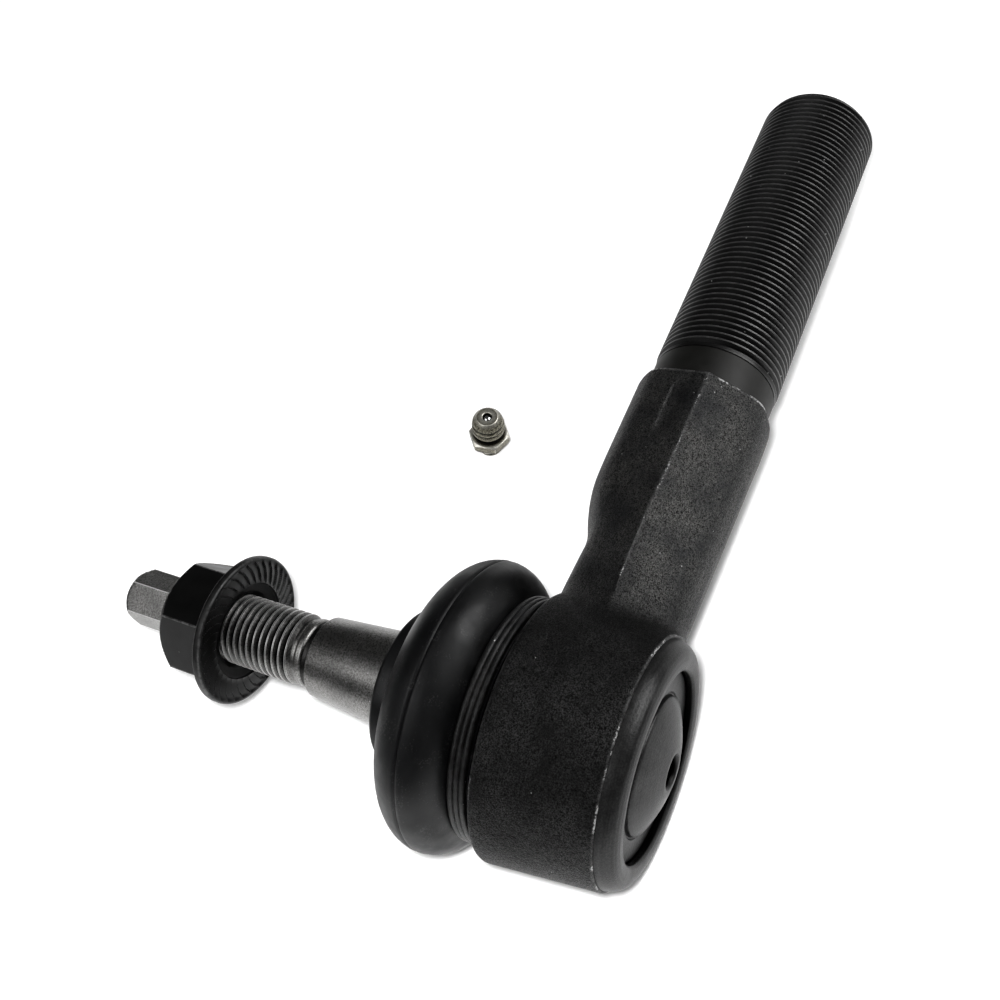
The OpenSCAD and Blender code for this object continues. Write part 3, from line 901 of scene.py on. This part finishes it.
def cover_shell():
    """A flat rim, a groove, the dome and the grooved port in its middle."""
    face, back, crown = cover_face_y, cover_back_y, cover_crown_y
    groove_r = cover_groove_r
    dome = arc((0, crown - 0.3 + cover_dome_r), cover_dome_r, cover_dome_r, -60.6, -79, 21)
    profile = [(groove_r - 0.4, back), (cover_rim_r, back), (cover_rim_r, face),
               (lip_inner_r, face), (lip_inner_r - 0.3, face)]
    profile += rounded([(cover_rim_r - 0.5, face), (groove_r + 0.45, face),
                        (groove_r + 0.2, face + 0.3), (groove_r - 0.05, face + 0.3),
                        (groove_r - 0.2, face - 0.4), dome[0]], 0.12)
    profile += dome[1:]
    profile += rounded([(4.25, crown + 0.02), (3.3, crown), (port_r + 0.05, crown + 0.5)], 0.12)
    depth = crown + 0.7
    while depth < face - 1.2:
        profile += [(port_r, depth), (port_r + 0.35, depth + 0.45)]
        depth += fitting_pitch
    profile += [(port_r, face - 0.9), (5, face - 0.9), (8.5, face + 0.1)]
    # Painted shade on the rim under the lip, in the port and in the groove.
    wear_and_painted_light = [-1.0 if r > lip_inner_r - 0.1 or r < port_r + 0.4
            else -0.8 * near(r - groove_r - 0.1, 0.2) * (y < back - 0.5) for r, y in profile]
    return turned(Y, profile, 256, closed=True, wear_and_painted_light=wear_and_painted_light)


def clamp_shell(turns=3, per_turn=180, sides=12):
    """Turns of wire side by side, each stepping over to the next at the back."""
    start, end = clamp_y
    wire_r = (end - start) / 5.5
    pitch = (end - start - 2 * wire_r) / (turns - 1)
    s = np.arange(turns * per_turn + 1) / per_turn
    whole = np.floor(s - 1e-9).clip(0)
    stepped = whole + smoothstep((s - whole - 0.93) / 0.07)
    y = start + wire_r + pitch * np.minimum(stepped, turns - 1)
    return wound(Y, clamp_r - wire_r, wire_r, s * TAU + 3.9, y, sides)


piece("forging", [forging_shell()], forged, "socket", ["housing"], sharp=34)
piece("shank_collar", [collar_shell()], collar_coat, "socket")
shank_thread = threaded(X, shank_thread_r, thread_pitch, shank_thread_x - 0.3, shank_end_x,
                        collar_r, shank_thread_r - shank_chamfer, 160)
piece("shank_thread", [shank_thread], black_thread, "socket")
piece("rolled_lip", [rolled_lip_shell()], rolled_black, "socket", sharp=40)
piece("cover", [cover_shell()], cover_black, "socket", ["cover_plate"], sharp=40)
piece("clamp_wire", [clamp_shell()], clamp_wire, "socket", ["boot_clamp_ring"],
      sharp=60)

# ---------- stud and nut ----------


def stud_body_shell():
    """Ball, neck, seal land, taper, undercut and the shoulder before the thread."""
    (big_y, small_y), (big_r, small_r) = taper_y, taper_r
    step_y = undercut_end_y
    ball = arc((0, 0), ball_r, ball_r, math.degrees(math.asin(ball_flat_y / ball_r)),
               math.degrees(math.acos(stud_neck_r / ball_r)), 40)
    body = [(ball[0][0] - 0.5, ball_flat_y)] + ball
    body += rounded([(stud_neck_r, 13), (stud_neck_r, 21.5), (stud_neck_r + 0.5, 23.2),
                     (seal_land_r - 0.4, 26.2), (seal_land_r, 26.8),
                     (seal_land_r, big_y - 0.2), (big_r, big_y)], 0.5)
    body += rounded([(big_r - 0.02, big_y + 0.3), (small_r, small_y),
                     (small_r - 0.75, small_y + 0.45), (undercut_r, small_y + 0.6),
                     (undercut_r, step_y), (stud_shoulder_r, step_y + 0.4),
                     (stud_shoulder_r, step_y + 1.4), (stud_thread_start_r, step_y + 2.0),
                     (stud_thread_start_r, step_y + 2.9)], 0.12)
    # The taper's end and the shoulder's edge lighter, partly rubbed and partly painted highlight;
    # the undercut darkened with painted shade.
    wear_and_painted_light = [0.35 * near(y - small_y, 0.12) + 0.8 * near(y - step_y - 0.7, 0.3)
            - 0.85 * (r < small_r - 0.5) * (small_y < y < step_y + 0.2) for r, y in body]
    return turned(Y, body, 160, wear_and_painted_light=wear_and_painted_light)


def stud_tip_shell(columns=144):
    """The hexagon that holds the stud still, chamfered at its end."""
    angle = full_turn(columns, math.radians(stud_hex_turn + 30))
    side = hex_radius(angle, stud_hex_af, stud_hex_turn)
    start = stud_thread_y[1] - 0.6
    chamfer = [stud_tip_y - d for d in (2.2, 1.5, 1.1, 0.7, 0.3, 0.08, 0)]
    rows, wear_and_painted_light = [], []
    for y in [start, start + 2, start + 5] + chamfer:
        limit = stud_hex_af / math.sqrt(3) - 0.95 + (stud_tip_y - y) * 0.9
        if y == stud_tip_y:
            limit -= 0.12
        rows.append(on_axis(Y, np.minimum(side, limit), angle, y))
        wear_and_painted_light.append(on_corner(angle, stud_hex_turn) * (side <= limit))
    return strip(np.array(rows), np.array(wear_and_painted_light))


def nut_shell(columns=576):
    """The nut from its bore, out over the serrations, round the flange and up the hexagon."""
    angle = full_turn(columns)
    side = hex_radius(angle, nut_af, nut_turn)
    corner = on_corner(angle, nut_turn, 0.02)
    face, top = nut_y
    height = top - face
    rows, wear_and_painted_light = [], []

    def ring(r, y, wear_and_painted_light_value=0.0):
        rows.append(on_axis(Y, r, angle, face + y))
        wear_and_painted_light.append(wear_and_painted_light_value + np.zeros(columns))

    for r, y in ((nut_hole_r, 6.0), (nut_hole_r, 1.9), (nut_hole_r + 0.9, 1.0),
                 (nut_hole_r + 1.6, 0.75), (9.3, 0.7), (9.75, 0.45)):
        ring(r, y)
    first, last = 9.9, nut_flange_r - 0.6
    for r in np.linspace(first, last, 15):
        s = (r - first) / (last - first)
        phase = np.mod(angle / TAU * nut_teeth + 1.5 * s ** 1.4, 1)
        depth = 0.36 * min(1, 6 * s, 8 * (1 - s))
        ring(r, depth * phase, 0.55 * (phase > 0.93) * (0.1 < s < 0.95))
    for inset, y, wear_and_painted_light_value in ((0.4, 0.0, 0.1), (0.22, 0.06, 0.5), (0.05, 0.22, 0.55), (0, 0.4, 0.15),
                           (0, 1.2, 0.0), (0.06, 1.42, 0.35), (0.3, 1.66, 0.4)):
        ring(nut_flange_r - inset, y, wear_and_painted_light_value)
    for y in np.concatenate([np.linspace(1.8, 4.4, 20), np.linspace(5, height - 2.4, 5),
                             np.linspace(height - 2.1, height, 12)]):
        cone = nut_flange_r - 0.45 - (y - 1.8) * 2.15
        limit = nut_af / 2 - 0.9 + (height - y) * 1.08
        barrel = np.minimum(side, limit)
        on_chamfer = np.abs(side - limit) < 0.10
        on_edge = corner * (side <= limit) * (barrel > cone)
        ring(np.maximum(barrel, cone), y, 0.8 * on_edge + 0.5 * on_chamfer)
    ring(nut_hole_r + 0.95, height, 0.2)
    ring(nut_hole_r, height - 0.9)
    return strip(np.array(rows), np.array(wear_and_painted_light), closed=True)


stud_thread = threaded(Y, stud_thread_r, thread_pitch, *stud_thread_y,
                       stud_thread_start_r, stud_thread_end_r, 144)
piece("stud", [stud_body_shell(), stud_thread, stud_tip_shell()], bare_steel, "stud",
      ["ball_stud"], sharp=28)
piece("nut", [nut_shell()], black_oxide, "nut", ["flange_nut"], sharp=25)

# ---------- boot ----------


def boot_shell():
    """Bellows and sealing lip as the one moulding they are, with its parting line."""
    centre = (boot_r - bulge_depth, boot_mid_y)
    outer = []
    for r, y in arc(centre, bulge_depth, bulge_half_length, -66, 126, 96):
        groove = 0.22 * near(y - boot_mid_y, 0.16) * (r > centre[0])
        bead = 0.07 * near(abs(y - boot_mid_y) - 0.5, 0.3) * (r > centre[0])
        outer.append((r - groove + min(bead, boot_r - r), y))
    inner = arc(centre, bulge_depth - boot_wall, bulge_half_length - boot_wall, 122, -54, 30)
    y0, y1 = boot_lip_y
    big = boot_lip_r
    cuff = rounded([(cuff_bore_r, cuff_start_y), (cuff_r, cuff_start_y), (cuff_r, 11.7),
                    outer[0]], 0.4)
    lip = rounded([outer[-1], (12.0, y0 - 1.6), (12.4, y0), (big - 0.9, y0 + 0.5),
                   (big, y0 + 1.6), (big, y1 - 0.6), (big - 0.7, y1), (11.2, y1),
                   (10.3, y1 - 0.8), (lip_bore_r, y1 - 1.8), (lip_bore_r, y0 + 0.2),
                   (10.8, y0 - 0.6), (10.8, y0 - 1.4), (12.2, y0 - 2.6), inner[0]], 0.45)
    over_bead = [(cuff_bore_r + 0.9, 13.0), (cuff_bore_r + 0.9, 11.9), (cuff_bore_r, 11.2)]
    return turned(Y, cuff + outer[1:-1] + lip + inner[1:] + over_bead, 224, closed=True)


boot = piece("boot", [boot_shell()], rubber, None, sharp=50)
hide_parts("dust_boot", "boot_lip")
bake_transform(boot)

# ---------- grease fitting ----------


def fitting_turned_shell():
    """Relief, ringed head, tip and passage, with painted shade in the hollows and the passage, and
    light rims on the tip, partly worn and partly painted highlight.
    """
    tip, head = fitting_tip_z, fitting_head_z
    relief_r, head_r = fitting_relief_r, fitting_head_r
    start = fitting_hex_z[0] - 0.8
    outline = [(relief_r, start), (relief_r, fitting_hex_z[1] + 0.1), (relief_r, head - 0.3),
               (relief_r + 0.1, head)]
    outline += [(head_r - inset, head + up) for inset, up in (
        (0.1, 0.2), (0, 0.5), (0, 1.25), (0.32, 1.4), (0.32, 1.75), (0.05, 1.95),
        (0.05, 2.55), (0.45, 2.7), (0.45, 3.1), (0.2, 3.3), (0.42, 4.0))]
    outline += [(2.5, tip), (1.22, tip), (1.1, tip - 0.1), (1.1, tip - 0.7), (1.5, tip - 1.6),
                (1.5, 1.2), (0.9, 1.0)]
    profile = rounded(outline, 0.14, 3) + [(0.9, start)]
    # Painted shade under the head, in the head's rings and in the passage; the tip's rims lighter,
    # partly worn and partly painted highlight.
    wear_and_painted_light = [-0.9 if r < head_r - 0.3 and z < head + 0.1 else
            -0.75 if r < head_r - 0.25 and z < head + 3.2 else
            near(r - 2.5, 0.09) * (z > tip - 0.3) + near(r - 1.22, 0.09) * (z > tip - 0.15)
            - (r < 1.6) * (0.5 < z < tip - 0.15) for r, z in profile]
    return turned(Z, profile, 96, closed=True, wear_and_painted_light=wear_and_painted_light)


def fitting_hex_shell(columns=144):
    """The hexagon, chamfered at both ends, with painted shade round the relief on top and at its
    foot, and its corners and top chamfer lightened, partly painted highlight.
    """
    foot_z, top_z = fitting_hex_z
    angle = full_turn(columns, math.radians(fitting_turn + 30))
    side = hex_radius(angle, fitting_hex_af, fitting_turn)
    corner = on_corner(angle, fitting_turn)
    corner_r = fitting_hex_af / math.sqrt(3)
    rows, wear_and_painted_light = [], []
    for z in np.concatenate([[0], np.linspace(0, 0.5, 5), [0.9, 1.2], np.linspace(1.4, 2.2, 9)]):
        limit = min(corner_r - 0.45 + z, corner_r - 0.85 + (top_z - foot_z - z) * 1.5)
        rows.append(on_axis(Z, np.minimum(side, limit), angle, foot_z + z))
        # Corners and the top chamfer lighter, partly rubbed and partly painted highlight; the foot
        # darkened with painted shade.
        wear_and_painted_light.append(0.5 * corner + (side > limit) * (z > 1) - 0.7 * (z < 0.3))
    # A light ring at the top's edge, partly painted highlight, then painted shade round the
    # relief.
    for r, wear_and_painted_light_value in ((3.95, 0.7), (3.5, -0.8), (fitting_relief_r, -1.0)):
        rows.append(on_axis(Z, r, angle, top_z))
        wear_and_painted_light.append(np.full(columns, wear_and_painted_light_value))
    return strip(np.array(rows), np.array(wear_and_painted_light))


fitting_thread = threaded(Z, fitting_thread_r, fitting_pitch, 0.0, fitting_hex_z[0] - 0.55,
                          fitting_relief_r, 9, 64)
fitting_shells = [fitting_thread, fitting_turned_shell(), fitting_hex_shell()]
piece("grease_fitting", [leaned(shell) for shell in fitting_shells], zinc, "fitting",
      ["fitting_body"], sharp=28)

# ---------- inner pieces ----------


def check_spring_shell(turns=7, coil_r=1.15, wire_r=0.22):
    """The coil between the check ball and its seat in the passage."""
    seat, top = check_spring_seat_z + wire_r, check_ball_z - 1.1
    along = np.linspace(0, 1, turns * 36 + 1)
    return wound(Z, coil_r, wire_r, along * turns * TAU, seat + (top - seat) * along, sides=10)


polymer = plain_material("bearing_polymer", (0.50, 0.41, 0.24, 1), (0.60, 0.51, 0.31, 1), 0.42, 3)
spring_steel = plain_material("spring_steel", grey(0.12), grey(0.26), 0.3, 2, metallic=1.0)
greased_steel = plain_material("greased_steel", grey(0.004), grey(0.012), 0.35, 2)
ball_steel = plain_material("check_ball_steel", grey(0.66), grey(0.80), 0.05, 1, metallic=1.0)
# These nodes keep their CAD shape and get a material of their own.
for node, material in (("front_bearing", polymer), ("pressure_seat", polymer),
                       ("preload_spring", greased_steel), ("boot_lip_insert", spring_steel),
                       ("fitting_check_ball", ball_steel)):
    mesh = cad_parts[node].data
    mesh.materials.clear()
    mesh.materials.append(material)

# A real check spring shortens towards its seat as the ball is pressed in; here it gets a mesh of
# its own.
check_spring = piece("check_spring", [leaned(check_spring_shell())], spring_steel, "fitting",
                     ["fitting_check_spring"])
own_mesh(check_spring)

# ---------- floor, light and camera, in metres ----------

floor_half = 8.0
pool_edge = (0.03, 0.27)  # where the floor's glow rises, out from the object
table_edge = (0.41, 0.54)  # where the lit table fades into the room
near_tone = 0.05
table_tone = 0.62
far_tone = 0.06

# Solved from the round features in the photograph
camera_lens, camera_sensor = 40.44, 36  # mm
camera_at = Vector((-0.0593, -0.0584, 0.1822))
camera_right = Vector((0.39961, -0.88994, -0.21983))
camera_up = Vector((0.79980, 0.22130, 0.55799))


def floor_material():
    """A pale board that glows like a lit table and fades further off."""
    s = Shader("pale_floor")
    away, _ = s.polar(Z)
    far = s.steps(away, *table_edge)
    colour = s.mix(s.noise(60, 3), grey(0.86), grey(0.89))
    colour = s.mix(far, colour, grey(far_tone))
    glow = s.mix(s.steps(away, *pool_edge), grey(near_tone), grey(table_tone))
    glow = s.mix(far, glow, grey(far_tone))
    return s.finish(Base_Color=colour, Roughness=0.7, Specular_IOR_Level=0.3,
                    Emission_Color=glow, Emission_Strength=1.0)


def add_floor():
    mesh = bpy.data.meshes.new("floor")
    half, z = floor_half, bench_z * MM
    mesh.from_pydata([(-half, -half, z), (half, -half, z), (half, half, z), (-half, half, z)],
                     [], [(0, 1, 2, 3)])
    mesh.materials.append(floor_material())
    floor = placed("floor", mesh)
    return floor


def add_light(name, direction, distance, size, watts, mirrored=True, scattered=True,
              aim=(0.06, 0.02, 0.0)):
    """A square softbox that may be left out of what glossy surfaces mirror, or out of what
    matt ones scatter."""
    data = bpy.data.lights.new(name, "AREA")
    data.shape = "SQUARE"
    data.size = size
    data.energy = watts
    light = placed(name, data)
    towards = Vector(direction).normalized()
    light.location = Vector(aim) + towards * distance
    light.rotation_euler = towards.to_track_quat("Z", "Y").to_euler()
    light.visible_glossy = mirrored
    light.visible_diffuse = scattered
    return light


def light_only(light, lit):
    """Lets the light reach one object and no other."""
    receivers = bpy.data.collections.new("lit_" + lit.name)
    receivers.objects.link(lit)
    light.light_linking.receiver_collection = receivers


def add_camera():
    """A camera at the photograph's viewing angle, above the joint's ball end."""
    data = bpy.data.cameras.new("camera")
    data.sensor_width = camera_sensor
    data.lens = camera_lens
    data.clip_start = 0.005
    camera = placed("camera", data)
    back = camera_right.cross(camera_up)
    turn = Matrix((camera_right, camera_up, back)).transposed().to_4x4()
    camera.matrix_world = Matrix.Translation(camera_at) @ turn
    bpy.context.scene.camera = camera


def set_world():
    world = bpy.data.worlds.new("studio")
    world.use_nodes = True
    background = world.node_tree.nodes["Background"].inputs
    background["Color"].default_value = grey(1)
    background["Strength"].default_value = far_tone
    scene = bpy.context.scene
    scene.world = world
    scene.view_settings.view_transform = "Standard"
    scene.view_settings.look = "Medium High Contrast"


floor = add_floor()
add_light("key_rear", (0.45, -0.66, 0.61), distance=0.7, size=0.50, watts=3.6, scattered=False)
add_light("overhead", (-0.52, 0.30, 0.80), distance=0.9, size=0.60, watts=2.4, scattered=False)
add_light("fill", (-0.20, -0.10, 0.97), distance=1.0, size=0.9, watts=5.0, mirrored=False)
wash = add_light("wash", (-0.41, -0.34, 0.85), distance=0.25, size=0.014, watts=0.61,
                 mirrored=False, aim=(0.045, 0.035, -0.02))
light_only(wash, floor)
add_camera()
set_world()
